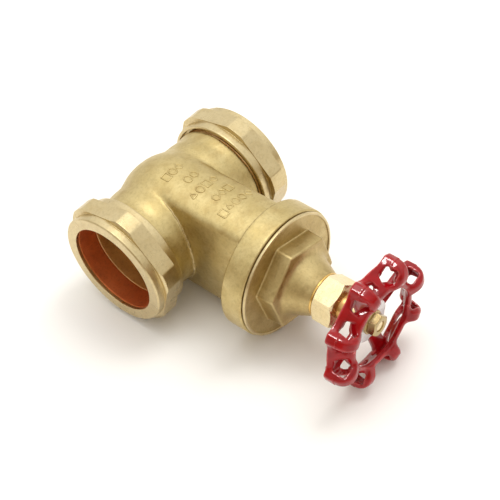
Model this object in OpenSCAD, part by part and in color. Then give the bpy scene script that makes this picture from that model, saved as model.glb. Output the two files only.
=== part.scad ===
// Gate valve for 54 mm copper pipe: compression ends, screwed bonnet,
// non-rising stem and a lobed handwheel. It lies on its side: the flow runs
// along X, the stem points along -Y, and the two centre lines cross at the origin.

/* [Compression ends] */
// Radius of the pipe sockets in the body
socket_r = 27.1; // [27.05:0.05:27.2]
// Depth at which the pipe meets its stop, from the centre
pipe_stop_x = 27; // [25:0.5:29]
// Radius of the body's necks
neck_r = 31.2; // [31.1:0.1:31.6]
// Distance from the centre to the shoulder of each neck
neck_x = 35.6; // [35.2:0.2:36]
// Outer radius of the compression thread
run_thread_r = 30.6; // [30.2:0.1:30.8]
// Distance from the centre to each end of the body
body_end_x = 44; // [43:0.5:45]
// Length of a compression nut
nut_l = 20.1; // [19.5:0.1:21]
// Radius of a compression nut's two round collars
nut_collar_r = 34.3; // [33.8:0.1:34.5]
// Half of a compression nut's width across its flats
nut_flat_r = 34.8; // [34.5:0.1:35.2]
// Radius that a compression nut's corners are turned to
nut_corner_r = 37.5; // [36.5:0.1:38]
// Turned position of the hexagons about the flow axis
nut_phase = 43; // [0:1:59]
// Distance from the centre to the back of the tightened left nut
left_nut_x = 33.6; // [33.4:0.1:34]
// How far the right nut stands backed off
right_nut_back_off = 2.55; // [0:0.05:3]
// Width of an olive
olive_w = 12.5; // [11:0.5:13]

/* [Body] */
// Bore of the waterway, as a radius
waterway_r = 22; // [20:0.5:22.5]
// Radius of the gate chamber about the stem axis
chamber_r = 35; // [34:0.5:36]
// Half width of the chamber at the middle of its sides
chamber_half_w = 22; // [21:0.5:24]
// Radius of the bulge of the chamber's sides
chamber_side_r = 96; // [80:1:120]
// Radius of the ring that takes the bonnet
ring_r = 37.4; // [37:0.1:38]
// Where the ring starts, from the flow axis
ring_start = 64.25; // [63:0.25:66]
// Where the ring ends, from the flow axis
ring_end = 78.2; // [77:0.1:79]

/* [Bonnet and gland] */
// Radius of the bonnet's flange
flange_r = 36.4; // [35.5:0.1:37]
// Radius of the bonnet's hexagon over its corners
hex_r = 26.7; // [25:0.1:28]
// Front face of the bonnet's hexagon
hex_end = 90; // [89:0.5:92]
// Front of the bonnet's cone, where the gland nut seats
neck_end = 104.6; // [103:0.1:106]
// Radius of the gland nut over its corners
gland_hex_r = 14.24; // [13.8:0.02:15]
// Front face of the gland nut
gland_end = 117.2; // [116:0.1:118]

/* [Gate and stem] */
// Travel of the wedge gate
lift = 48; // [44:0.5:48]
// Radius of the wedge gate's disc
gate_r = 26; // [25:0.25:26]
// Half thickness of the wedge gate at its centre
gate_half_t = 9.6; // [9:0.1:9.8]
// Taper of each face of the wedge gate, in degrees
gate_taper = 4; // [3:0.25:4.5]
// Radius of the stem's lifting thread
lift_thread_r = 6.5; // [6:0.1:6.6]
// Radius of the stem's plain shank
shank_r = 5.5; // [5:0.1:5.6]

/* [Handwheel] */
// Number of lobes
lobes = 8; // [6:1:10]
// Radius over the tips of the lobes
wheel_r = 38; // [37:0.1:39]
// Radius of the rim between two lobes, at its back edge
valley_r = 34; // [33:0.1:35]
// Radius of the opening at the front of the wheel
mouth_r = 22.6; // [21:0.1:24]
// Back plane of the rim
wheel_back = 131; // [130:0.5:132]
// Wall thickness of the cast wheel
wheel_wall = 3.2; // [2.8:0.1:3.6]
// Turned position of the first lobe about the stem axis
lobe_phase = 16.5; // [0:0.5:44.5]
// Width of a spoke
spoke_w = 8.6; // [7:0.2:10]

/* [Hidden] */
$fn = 96;

eps = 0.01;
run_gap = 0.05;        // radial gap of a running fit
side_gap = 0.3;        // gap between faces that slide past each other
seat_gap = 0.12;       // gap between the closed wedge and its seats

brass = "darkkhaki";
bright_brass = "khaki";
copper = "sienna";
enamel = "crimson";

// chamber inside
cavity_r = chamber_r - 3.5;
cavity_half_w = 13.5;
seat_r = gate_r + 1;
seat_back = 4;
rib_half_t = 1.5;
rib_in = 28.6;
ring_bore_r = 33.05;
skirt_start = 68;

// the olive sits over the body's mouth and under the nut's lip
mouth_x = body_end_x - 5;
mouth_depth = 5;
mouth_r0 = socket_r + 0.7;
mouth_r1 = socket_r + 3;
nut_skirt_l = 3.2;
olive_r = socket_r + 2.2;
olive_end_r = socket_r + 0.55;
olive_gap = 0.05;
nut_lip = 2.05;
nut_hex_start = 5;
nut_hex_end = 15.2;

// the bonnet, upwards along the stem
flange_back = ring_end + 1;
flange_front = flange_back + 1;
rim_w = 1.4;
rim_recess = 0.5;
hex_phase = 45.3;
cone_r0 = 18.8;
cone_r1 = 12.6;
cone_land = 0.8;
tower_r = 20;
skirt_bore_r = 29.5;
tower_bore_r = 18;
cavity_top = hex_end - 2.6;
retainer_l = 3.6;
collar_back = cavity_top + retainer_l + 0.15;
collar_l = 3.8;
collar_r = 10.5;
washer_back = collar_back + collar_l + 0.1;
washer_l = 1.4;
recess_r = 11.6;
recess_top = washer_back + washer_l;
packing_back = recess_top + 2;
packing_r = 9;
spigot_r = 10.7;
spigot_end = neck_end + 9.3;
packing_washer_l = 1.2;
packing_ring_l = 3.1;
follower_flange_back = spigot_end + 0.4;
follower_flange_l = 1.4;
follower_nose_r = 7.4;
follower_nose_end = gland_end + 3.8;
gland_phase = 21.9;

// the stem's top and what it carries
stem_tip = 28;
square_w = 8;
hub_back = 128.4;
hub_front = 133.4;
hub_r = 11.5;
disc_r = 12.4;
disc_t = 0.7;
wheel_washer_r = 7;
wheel_washer_t = 1.3;
wheel_nut_t = 4.6;
wheel_nut_r = 6.5;
wheel_nut_phase = 12;
stud_r = 3;
disc_back = hub_front;
wheel_washer_back = disc_back + disc_t;
wheel_nut_back = wheel_washer_back + wheel_washer_t;
stud_end = wheel_nut_back + wheel_nut_t - 0.4;

// the rim's section, as radius and distance along the stem axis
lobe_r = 7.8;
lobe_mid_r = wheel_r - 8.2;
lobe_mid = wheel_back + 6.4;
rim_front = wheel_back + 10.8;
lobe_tip_w = 5.2;
star_valley_r = 28.5;
window_l = 7.4;
window_reach = 8.8;

// turns +Z to the stem axis, -Y
module on_stem() { rotate([90, 0, 0]) children(); }

// turns +Z to the flow axis, side -1 for the left end and 1 for the right end
module on_run(side) { rotate([0, 90 * side, 0]) children(); }

// a ring about Z from z0 to z1
module tube(r_out, r_in, z0, z1) {
    difference() {
        translate([0, 0, z0]) cylinder(r = r_out, h = z1 - z0);
        translate([0, 0, z0 - 1]) cylinder(r = r_in, h = z1 - z0 + 2);
    }
}

// a hexagon about Z whose corners are turned down by a cone at each end
module turned_hexagon(flat_r, corner_r, z0, z1, chamfer0, chamfer1) {
    drop = corner_r - flat_r;
    intersection() {
        translate([0, 0, z0]) cylinder(r = flat_r / cos(30), h = z1 - z0, $fn = 6);
        rotate_extrude() polygon([
            [0, z0], [corner_r - drop * chamfer0, z0], [corner_r, z0 + drop * chamfer0 * tan(30)],
            [corner_r, z1 - drop * chamfer1 * tan(30)], [corner_r - drop * chamfer1, z1], [0, z1]
        ]);
    }
}

// ---------------------------------------------------------------- body

module chamber_form(r, half_w, side_r, end) {
    intersection() {
        union() {
            sphere(r = r);
            on_stem() cylinder(r = r, h = end);
        }
        on_stem() translate([half_w - side_r, 0, -r - 1]) cylinder(r = side_r, h = end + r + 2);
        on_stem() translate([side_r - half_w, 0, -r - 1]) cylinder(r = side_r, h = end + r + 2);
    }
}

module chamber_cavity() {
    intersection() {
        union() {
            sphere(r = cavity_r);
            on_stem() cylinder(r = cavity_r, h = skirt_start + 1);
        }
        translate([-cavity_half_w, -skirt_start - 1, -cavity_r])
            cube([2 * cavity_half_w, skirt_start + cavity_r + 1, 2 * cavity_r]);
    }
}

// the wedge-shaped space between the two seats
module seat_space() {
    low = -seat_r - 0.5;
    high = seat_r + 12;
    function half_gap(d) = gate_half_t + seat_gap + d * tan(gate_taper);
    intersection() {
        translate([0, 0, low]) linear_extrude(-2 * low) polygon([
            [-half_gap(low), -low], [half_gap(low), -low], [half_gap(high), -high], [-half_gap(high), -high]
        ]);
        union() {
            on_run(1) translate([0, 0, -20]) cylinder(r = -low, h = 40);
            translate([-20, -high, low]) cube([40, high, -2 * low]);
        }
    }
}

module body() {
    color(brass) difference() {
        union() {
            difference() {
                union() {
                    chamber_form(chamber_r, chamber_half_w, chamber_side_r, ring_start + 1);
                    on_stem() translate([0, 0, ring_start]) cylinder(r = ring_r, h = ring_end - ring_start);
                    for (side = [-1, 1]) on_run(side) {
                        cylinder(r = neck_r, h = neck_x);
                        cylinder(r = run_thread_r, h = body_end_x);
                    }
                }
                chamber_cavity();
                on_stem() translate([0, 0, skirt_start]) cylinder(r = ring_bore_r, h = ring_end);
            }
            for (side = [-1, 1]) on_run(side)
                translate([0, 0, seat_back]) cylinder(r = seat_r, h = cavity_half_w + 1 - seat_back);
            // ribs that guide the wedge
            for (side = [-1, 1]) intersection() {
                translate([-rib_half_t, -skirt_start + 2, side > 0 ? rib_in : -chamber_r + 1])
                    cube([2 * rib_half_t, skirt_start + 8, chamber_r - 1 - rib_in]);
                on_stem() translate([0, 0, -20]) cylinder(r = chamber_r - 1, h = ring_start + 20);
            }
        }
        seat_space();
        for (side = [-1, 1]) on_run(side) {
            cylinder(r = waterway_r, h = body_end_x + 1);
            translate([0, 0, pipe_stop_x]) cylinder(r = socket_r, h = body_end_x);
            // mouth that takes the olive's inner taper
            translate([0, 0, mouth_x]) cylinder(r1 = mouth_r0, r2 = mouth_r1, h = mouth_depth + eps);
        }
    }
}

// ---------------------------------------------------------------- compression ends

module compression_nut() {
    cone_start = body_end_x - left_nut_x + 3;
    lip = nut_l - nut_lip;
    color(bright_brass) rotate([0, 0, nut_phase]) difference() {
        union() {
            rotate_extrude() polygon([
                [0, 0], [nut_collar_r - 0.5, 0], [nut_collar_r, 0.5], [nut_collar_r, nut_l - 0.6],
                [nut_collar_r - 0.6, nut_l], [0, nut_l]
            ]);
            turned_hexagon(nut_flat_r, nut_corner_r, nut_hex_start, nut_hex_end, 0.1, 0.45);
        }
        rotate_extrude() polygon([
            [0, -1], [neck_r + 1, -1], [neck_r + 1, nut_skirt_l], [run_thread_r + run_gap, nut_skirt_l],
            [run_thread_r + run_gap, cone_start], [olive_r + 0.6, cone_start], [olive_end_r + 0.2, lip],
            [socket_r + 0.2, lip], [socket_r + 0.2, nut_l + 1], [0, nut_l + 1]
        ]);
    }
}

module compression_nut_left() { on_run(-1) translate([0, 0, left_nut_x]) compression_nut(); }

module compression_nut_right() {
    on_run(1) mirror([1, 0, 0]) translate([0, 0, left_nut_x + right_nut_back_off]) compression_nut();
}

module olive() {
    taper = 3.6;
    bore_r = socket_r + 0.05;
    lead_in = 0.7;
    color(copper) rotate_extrude() polygon([
        [bore_r, lead_in], [bore_r + lead_in / 2, 0], [olive_end_r, 0], [olive_r, taper],
        [olive_r, olive_w - taper], [olive_end_r, olive_w], [bore_r + lead_in / 2, olive_w],
        [bore_r, olive_w - lead_in]
    ]);
}

module olive_left() { on_run(-1) translate([0, 0, mouth_x + olive_gap]) olive(); }

module olive_right() { on_run(1) translate([0, 0, mouth_x + olive_gap + right_nut_back_off]) olive(); }

// ---------------------------------------------------------------- bonnet

module bonnet_outside() {
    rotate_extrude() polygon([
        [0, skirt_start], [ring_bore_r - run_gap, skirt_start], [ring_bore_r - run_gap, flange_back],
        [flange_r, flange_back], [flange_r, flange_front], [flange_r - rim_w, flange_front],
        [flange_r - rim_w, flange_front - rim_recess],
        [tower_r, flange_front - rim_recess], [tower_r, hex_end],
        [cone_r0, hex_end], [cone_r1, neck_end - cone_land], [cone_r1, neck_end], [spigot_r, neck_end],
        [spigot_r, spigot_end], [0, spigot_end]
    ]);
    hex_start = flange_front - rim_recess - 0.1;
    translate([0, 0, hex_start]) rotate([0, 0, hex_phase])
        cylinder(r = hex_r, h = hex_end - hex_start, $fn = 6);
}

module bonnet() {
    color(brass) on_stem() difference() {
        bonnet_outside();
        translate([0, 0, skirt_start - 1]) cylinder(r = skirt_bore_r, h = flange_back - 1 - skirt_start);
        cylinder(r = tower_bore_r, h = cavity_top);
        cylinder(r = recess_r, h = recess_top);
        cylinder(r = shank_r + run_gap, h = spigot_end + 1);
        translate([0, 0, packing_back]) cylinder(r = packing_r, h = spigot_end);
    }
}

module bonnet_gasket() {
    color("dimgray") on_stem() tube(ring_r - 1.9, ring_bore_r + 0.1, ring_end, flange_back);
}

// ---------------------------------------------------------------- gate and stem

module wedge_gate() {
    function half_t(d) = gate_half_t + d * tan(gate_taper);
    boss_top = 39;
    boss_r = 8.5;
    ear_half = 4.5;
    ear_reach = 30.6;
    ear_top = 12;
    ear_l = 14;
    slot_half = rib_half_t + side_gap;
    color(brass) translate([0, -lift, 0]) difference() {
        union() {
            intersection() {
                on_run(1) translate([0, 0, -20]) cylinder(r = gate_r, h = 40);
                translate([0, 0, -gate_r]) linear_extrude(2 * gate_r) polygon([
                    [-half_t(-gate_r), gate_r], [half_t(-gate_r), gate_r],
                    [half_t(gate_r), -gate_r], [-half_t(gate_r), -gate_r]
                ]);
            }
            on_stem() cylinder(r = boss_r, h = boss_top);
            translate([-ear_half, -ear_top, -ear_reach]) cube([2 * ear_half, ear_l, 2 * ear_reach]);
        }
        on_stem() translate([0, 0, -21]) cylinder(r = lift_thread_r + 0.4, h = 41);
        on_stem() cylinder(r = lift_thread_r + run_gap, h = boss_top + 1);
        for (side = [-1, 1])
            translate([-slot_half, -ear_top - 1, side > 0 ? rib_in - side_gap : -rib_in + side_gap - 5])
                cube([2 * slot_half, ear_l + 2, 5]);
    }
}

module stem() {
    color(bright_brass) on_stem() {
        rotate_extrude() polygon([
            [0, stem_tip], [lift_thread_r - 1, stem_tip], [lift_thread_r, stem_tip + 1],
            [lift_thread_r, collar_back], [collar_r, collar_back], [collar_r, collar_back + collar_l],
            [shank_r, collar_back + collar_l], [shank_r, hub_back], [0, hub_back]
        ]);
        translate([-square_w / 2, -square_w / 2, hub_back - 1])
            cube([square_w, square_w, hub_front - hub_back + 0.6]);
        translate([0, 0, hub_front - 1]) cylinder(r = stud_r, h = stud_end - hub_front + 1);
    }
}

module stem_retaining_nut() {
    color(bright_brass) on_stem() difference() {
        tube(recess_r, lift_thread_r + 0.3, cavity_top + 0.1, cavity_top + retainer_l);
        for (turn = [0, 180]) rotate([0, 0, turn])
            translate([9.2, 0, cavity_top - 1]) cylinder(r = 1, h = 3);
    }
}

module thrust_washer() {
    color("silver") on_stem() tube(recess_r - 0.2, shank_r + 0.2, washer_back, washer_back + washer_l);
}

// ---------------------------------------------------------------- packing and gland

module packing_part(r_in, start, length) {
    on_stem() tube(packing_r, r_in, start, start + length);
}

module packing_washer() { color("silver") packing_part(shank_r + 0.1, packing_back, packing_washer_l); }

module packing_ring(place) {
    start = packing_back + packing_washer_l + place * packing_ring_l;
    color("dimgray") packing_part(shank_r + run_gap, start, packing_ring_l);
}

module packing_ring_lower() { packing_ring(0); }

module packing_ring_middle() { packing_ring(1); }

module packing_ring_upper() { packing_ring(2); }

module gland_follower() {
    sleeve_back = packing_back + packing_washer_l + 0.1 + 3 * packing_ring_l;
    color(copper) on_stem() rotate_extrude() polygon([
        [shank_r + 0.1, sleeve_back], [packing_r - 0.1, sleeve_back],
        [packing_r - 0.1, follower_flange_back],
        [spigot_r - 0.3, follower_flange_back], [spigot_r - 0.3, follower_flange_back + follower_flange_l],
        [follower_nose_r, follower_flange_back + follower_flange_l],
        [follower_nose_r, follower_nose_end - 0.6], [follower_nose_r - 0.6, follower_nose_end],
        [shank_r + 0.1, follower_nose_end]
    ]);
}

module gland_nut() {
    inside_top = follower_flange_back + follower_flange_l + 0.05;
    color(bright_brass) on_stem() rotate([0, 0, gland_phase]) difference() {
        turned_hexagon(gland_hex_r * cos(30), gland_hex_r, neck_end + 0.1, gland_end, 1, 1);
        cylinder(r = spigot_r + run_gap, h = inside_top);
        cylinder(r = follower_nose_r + 0.1, h = gland_end + 1);
    }
}

// ---------------------------------------------------------------- handwheel

// the rim as a solid, inset all over by the given amount
module rim_form(inset) {
    tip = wheel_r - inset;
    half_tip = lobe_tip_w / 2 - inset * 0.45;
    valley = star_valley_r - inset;
    back = wheel_back - (inset > 0 ? 1 : 0);
    step = 360 / lobes;
    arm = [for (k = [0 : lobes - 1]) each [
        [tip * cos(k * step) + half_tip * sin(k * step), tip * sin(k * step) - half_tip * cos(k * step)],
        [tip * cos(k * step) - half_tip * sin(k * step), tip * sin(k * step) + half_tip * cos(k * step)],
        [valley * cos((k + 0.5) * step), valley * sin((k + 0.5) * step)]
    ]];
    // lobes: a round-fronted ring, cut to a star
    intersection() {
        translate([0, 0, wheel_back - 2]) linear_extrude(20) polygon(arm);
        rotate_extrude() union() {
            translate([lobe_mid_r, lobe_mid]) circle(r = lobe_r - inset);
            translate([lobe_mid_r - lobe_r + inset, back])
                square([wheel_r - lobe_mid_r + lobe_r - 2 * inset, lobe_mid - back]);
        }
    }
    // the sloping band between them
    rotate_extrude() polygon([
        [mouth_r - 1, back], [valley_r - inset * 1.2, back],
        [mouth_r + 3 - inset * 1.2, rim_front], [mouth_r - 1, rim_front]
    ]);
}

module lobe_window() {
    translate([lobe_mid_r, 0, lobe_mid + 0.8]) rotate([90, 0, 0])
        translate([0, 0, -window_reach]) linear_extrude(2 * window_reach) union() {
            square([window_l, window_l - 2], center = true);
            square([window_l - 2, window_l], center = true);
            for (a = [-1, 1], b = [-1, 1]) translate([a, b] * (window_l / 2 - 1)) circle(r = 1, $fn = 24);
        }
}

module handwheel() {
    color(enamel) on_stem() rotate([0, 0, lobe_phase]) {
        difference() {
            rim_form(0);
            rim_form(wheel_wall);
            translate([0, 0, wheel_back - 1]) cylinder(r = mouth_r, h = 40);
            for (k = [0 : lobes - 1]) rotate([0, 0, k * 360 / lobes]) lobe_window();
        }
        difference() {
            union() {
                translate([0, 0, hub_back]) cylinder(r = hub_r, h = hub_front - hub_back);
                for (turn = [0 : 90 : 270]) rotate([0, 0, turn])
                    translate([hub_r - 2, -spoke_w / 2, wheel_back - 1.2])
                        cube([wheel_r - 4 - hub_r, spoke_w, 3.4]);
            }
            rotate([0, 0, -lobe_phase]) cube([square_w + 0.02, square_w + 0.02, 300], center = true);
        }
    }
}

module identification_disc() {
    color("silver") on_stem() tube(disc_r, stud_r + 0.3, disc_back, disc_back + disc_t);
}

module wheel_washer() {
    color(brass) on_stem()
        tube(wheel_washer_r, stud_r + 0.2, wheel_washer_back, wheel_washer_back + wheel_washer_t);
}

module wheel_nut() {
    front = wheel_nut_back + wheel_nut_t;
    color(bright_brass) on_stem() difference() {
        rotate([0, 0, wheel_nut_phase])
            turned_hexagon(wheel_nut_r * cos(30), wheel_nut_r, wheel_nut_back, front, 0.6, 1);
        cylinder(r = stud_r + run_gap, h = stud_end + 10);
    }
}

body();
compression_nut_left();
compression_nut_right();
olive_left();
olive_right();
bonnet();
bonnet_gasket();
wedge_gate();
stem();
stem_retaining_nut();
thrust_washer();
packing_washer();
packing_ring_lower();
packing_ring_middle();
packing_ring_upper();
gland_follower();
gland_nut();
handwheel();
identification_disc();
wheel_washer();
wheel_nut();
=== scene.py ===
"""A brass gate valve with compression ends and a red cast handwheel, lying on its side.

The flow runs along X, the stem points along -Y, and the two centre lines cross at the origin.
Shapes are worked out in millimetres. A distance along the stem axis is called d, with d = -y."""

import math

import bmesh
import bpy
import numpy as np
from mathutils import Matrix, Vector


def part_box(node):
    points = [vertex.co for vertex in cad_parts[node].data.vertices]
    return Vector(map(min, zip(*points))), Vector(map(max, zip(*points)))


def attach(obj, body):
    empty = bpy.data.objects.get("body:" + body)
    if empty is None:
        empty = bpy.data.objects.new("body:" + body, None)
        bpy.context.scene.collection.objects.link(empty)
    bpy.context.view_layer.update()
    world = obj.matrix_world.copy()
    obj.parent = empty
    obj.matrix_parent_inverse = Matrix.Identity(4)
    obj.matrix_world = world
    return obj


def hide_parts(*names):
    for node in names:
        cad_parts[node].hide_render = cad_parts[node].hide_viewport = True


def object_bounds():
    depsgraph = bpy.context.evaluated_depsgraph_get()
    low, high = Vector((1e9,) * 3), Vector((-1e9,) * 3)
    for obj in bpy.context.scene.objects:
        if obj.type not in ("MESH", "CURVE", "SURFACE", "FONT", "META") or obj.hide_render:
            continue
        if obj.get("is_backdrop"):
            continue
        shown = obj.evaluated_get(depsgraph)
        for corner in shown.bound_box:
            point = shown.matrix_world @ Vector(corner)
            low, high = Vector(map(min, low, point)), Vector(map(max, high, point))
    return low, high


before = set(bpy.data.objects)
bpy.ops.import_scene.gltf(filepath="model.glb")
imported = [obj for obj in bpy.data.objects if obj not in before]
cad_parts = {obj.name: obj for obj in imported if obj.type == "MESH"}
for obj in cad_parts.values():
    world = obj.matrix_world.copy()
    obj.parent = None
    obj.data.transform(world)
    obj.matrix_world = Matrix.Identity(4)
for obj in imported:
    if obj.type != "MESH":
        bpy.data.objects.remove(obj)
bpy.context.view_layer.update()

MM = 0.001
TURN = 2 * math.pi


def box_mm(node):
    """A CAD node's lowest and highest corner in millimetres."""
    low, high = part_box(node)
    return np.array(low) / MM, np.array(high) / MM


# ---------------------------------------------------------------- sizes from the frame

body_low, body_high = box_mm("body")
RING_R, RING_FRONT = body_high[2], -body_low[1]
CHAMBER_R, RUN_END = body_high[1], body_high[0]

bonnet_low, bonnet_high = box_mm("bonnet")
FLANGE_R, SPIGOT_END = bonnet_high[2], -bonnet_low[1]
SKIRT_START = -bonnet_high[1]

wheel_low, wheel_high = box_mm("handwheel")
WHEEL_FRONT, HUB_BACK = -wheel_low[1], -wheel_high[1]

gland_low, gland_high = box_mm("gland_nut")
GLAND_BACK, GLAND_FRONT = -gland_high[1], -gland_low[1]

follower_low, follower_high = box_mm("gland_follower")
FOLLOWER_BACK, FOLLOWER_FRONT = -follower_high[1], -follower_low[1]

stem_low, stem_high = box_mm("stem")
STEM_TIP, STUD_END = -stem_high[1], -stem_low[1]

disc_low, disc_high = box_mm("identification_disc")
DISC_R, DISC_BACK, DISC_FRONT = disc_high[2], -disc_high[1], -disc_low[1]

washer_low, washer_high = box_mm("wheel_washer")
WASHER_R, WASHER_FRONT = washer_high[2], -washer_low[1]

NUT_FRONT = -box_mm("wheel_nut")[0][1]

# ---------------------------------------------------------------- fields
# A field gives, for points in millimetres, roughly the distance to a surface, below zero inside.


def both(a, b, soft=0.0):
    """What lies inside both fields, with the edge between them rounded."""
    if soft == 0:
        return np.maximum(a, b)
    share = np.clip(0.5 + 0.5 * (a - b) / soft, 0, 1)
    return b + (a - b) * share + soft * share * (1 - share)


def either(a, b, soft=0.0):
    """What lies inside one field or the other, with the corner between them filled."""
    return -both(-a, -b, soft)


def without(a, b, soft=0.0):
    return both(a, -b, soft)


def between(value, low, high):
    return np.maximum(low - value, value - high)


def lumps(points, size, seed):
    """Smooth noise from -1 to 1, with lumps of about the given size."""
    table = np.random.default_rng(seed).uniform(-1, 1, (32, 32, 32))
    place = points / size
    whole = np.floor(place).astype(int)
    part = place - whole
    part = part * part * (3 - 2 * part)
    total = np.zeros(len(points))
    for i in (0, 1):
        for j in (0, 1):
            for k in (0, 1):
                weight = np.ones(len(points))
                for axis, step in enumerate((i, j, k)):
                    weight *= part[:, axis] if step else 1 - part[:, axis]
                corner = (whole + (i, j, k)) % 32
                total += weight * table[corner[:, 0], corner[:, 1], corner[:, 2]]
    return total


def net(field, low, high, cell):
    """The surface where the field is zero, as points and four-cornered faces.

    Each cell that the surface crosses gets one point, the mean of where its edges are cut."""
    axes = [np.arange(a, b + cell, cell) for a, b in zip(low, high)]
    shape = [len(a) for a in axes]
    grid = np.stack(np.meshgrid(*axes, indexing="ij"), -1).reshape(-1, 3)
    value = field(grid).reshape(shape)
    inside = value < 0
    total = np.zeros([n - 1 for n in shape] + [3])
    count = np.zeros([n - 1 for n in shape], int)
    cuts = []
    for axis in range(3):
        first = [slice(None)] * 3
        second = [slice(None)] * 3
        first[axis], second[axis] = slice(0, -1), slice(1, None)
        a, b = value[tuple(first)], value[tuple(second)]
        cut = inside[tuple(first)] != inside[tuple(second)]
        way = np.where(cut, a / np.where(cut, a - b, 1), 0)
        cuts.append((cut, inside[tuple(first)]))
        sides = [s for s in range(3) if s != axis]
        for i in (0, 1):
            for j in (0, 1):
                part = [slice(None)] * 3
                part[sides[0]] = slice(i, shape[sides[0]] - 1 + i)
                part[sides[1]] = slice(j, shape[sides[1]] - 1 + j)
                here = cut[tuple(part)]
                count += here
                total[..., axis] += way[tuple(part)] * here
                total[..., sides[0]] += i * here
                total[..., sides[1]] += j * here

    cells = np.argwhere(count > 0)
    number = np.full(count.shape, -1)
    number[tuple(cells.T)] = np.arange(len(cells))
    offset = total[tuple(cells.T)] / count[tuple(cells.T)][:, None]
    points = np.array(low) + (cells + offset) * cell

    # each cut edge inside the grid joins the points of the four cells round it
    faces = []
    for axis, (cut, starts_inside) in enumerate(cuts):
        one, two = (axis + 1) % 3, (axis + 2) % 3
        edges = np.argwhere(cut)
        edges = edges[(edges[:, one] > 0) & (edges[:, two] > 0)]
        edges = edges[(edges[:, one] < shape[one] - 1) & (edges[:, two] < shape[two] - 1)]
        quad = []
        for i, j in ((1, 1), (0, 1), (0, 0), (1, 0)):
            cell_at = edges.copy()
            cell_at[:, one] -= i
            cell_at[:, two] -= j
            quad.append(number[tuple(cell_at.T)])
        quad = np.stack(quad, -1)
        flip = ~starts_inside[tuple(edges.T)]
        quad[flip] = quad[flip][:, ::-1]
        faces.append(quad)
    return points, np.concatenate(faces)


def settle(points, field, rounds=4, reach=0.4, step=0.04, least_slope=0.2):
    """Moves points onto the surface where the field is zero, each round by the reach at most."""
    for _ in range(rounds):
        value = field(points)
        rises = [field(points + step * axis) - field(points - step * axis) for axis in np.eye(3)]
        slope = np.stack(rises, -1) / (2 * step)
        size = np.maximum((slope**2).sum(-1), least_slope)
        move = np.clip(value / size, -reach, reach)
        points = points - move[:, None] * slope
    return points


# ---------------------------------------------------------------- turned shapes

ARC_SHARE, LEAST_ARC = 0.45, 0.01


def rounded(corners, radius=0.3, steps=3, closed=True):
    """An outline of (radius, height) corners, each turned into an arc.

    A corner may give its own arc radius third. An arc takes at most ARC_SHARE of the sides beside it."""
    out = []
    count = len(corners)
    for i, corner in enumerate(corners):
        here = np.array(corner[:2], float)
        if not closed and i in (0, count - 1):
            out.append(here)
            continue
        back = np.array(corners[i - 1][:2], float) - here
        ahead = np.array(corners[(i + 1) % count][:2], float) - here
        long_back, long_ahead = np.linalg.norm(back), np.linalg.norm(ahead)
        back, ahead = back / long_back, ahead / long_ahead
        half = math.acos(max(-1, min(1, back @ ahead))) / 2
        want = corner[2] if len(corner) > 2 else radius
        run = min(want / math.tan(half), ARC_SHARE * long_back, ARC_SHARE * long_ahead)
        if run < LEAST_ARC:
            out.append(here)
            continue
        middle = here + (back + ahead) / np.linalg.norm(back + ahead) * (run / math.cos(half))
        arm = here + back * run - middle
        end = here + ahead * run - middle
        sweep = math.atan2(arm[0] * end[1] - arm[1] * end[0], arm @ end)
        for k in range(steps + 1):
            a = sweep * k / steps
            turn = np.array([[math.cos(a), -math.sin(a)], [math.sin(a), math.cos(a)]])
            out.append(middle + turn @ arm)
    return out


def spaced(outline, gap, closed=True):
    """The outline with points added so that none are further apart than the gap."""
    out = []
    pairs = list(zip(outline, outline[1:] + outline[:1] if closed else outline[1:]))
    for a, b in pairs:
        parts = max(1, math.ceil(np.linalg.norm(b - a) / gap))
        out += [a + (b - a) * k / parts for k in range(parts)]
    return out if closed else out + [outline[-1]]


def turned(outline, columns=192, shape=None, closed=True):
    """The outline turned about the height axis.

    shape(radius, height, angle) may change each point's radius and height."""
    outline = np.array(outline)
    angle = np.arange(columns) * TURN / columns
    radius = np.repeat(outline[:, :1], columns, 1)
    height = np.repeat(outline[:, 1:2], columns, 1)
    if shape:
        radius, height = shape(radius, height, angle[None, :])
    points = np.stack([radius * np.cos(angle), radius * np.sin(angle), height], -1)
    index = np.arange(len(outline) * columns).reshape(-1, columns)
    ahead = np.roll(index, -1, 0)
    quads = np.stack([index, ahead, np.roll(ahead, -1, 1), np.roll(index, -1, 1)], -1)
    if not closed:
        quads = quads[:-1]
    return points.reshape(-1, 3), quads.reshape(-1, 4)


def on_stem(points):
    """From turned form to the stem axis: height becomes d, and angles run from +X towards +Z."""
    return np.stack([points[:, 0], -points[:, 2], points[:, 1]], -1)


def on_run(points, side):
    """From turned form to the flow axis: height runs outwards, and angles run from +Y towards +Z."""
    return np.stack([side * points[:, 2], points[:, 0], points[:, 1]], -1)


def flat_sides(angle, sides, flat_r, corner_angle):
    """The radius at each angle of a regular polygon with a corner at corner_angle degrees."""
    step = TURN / sides
    off = (angle - math.radians(corner_angle)) % step - step / 2
    return flat_r / np.cos(off)


def thread(height, angle, pitch, depth):
    """How far a sharp thread cuts below its crest."""
    phase = (height / pitch - angle / TURN) % 1
    return depth * np.abs(2 * phase - 1)


# ---------------------------------------------------------------- materials


def node_material(name):
    material = bpy.data.materials.new(name)
    material.use_nodes = True
    nodes = material.node_tree.nodes
    shader = next(n for n in nodes if n.type == "BSDF_PRINCIPLED")
    place = nodes.new("ShaderNodeTexCoord").outputs["Object"]
    return material, nodes, material.node_tree.links, shader, place


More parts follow.
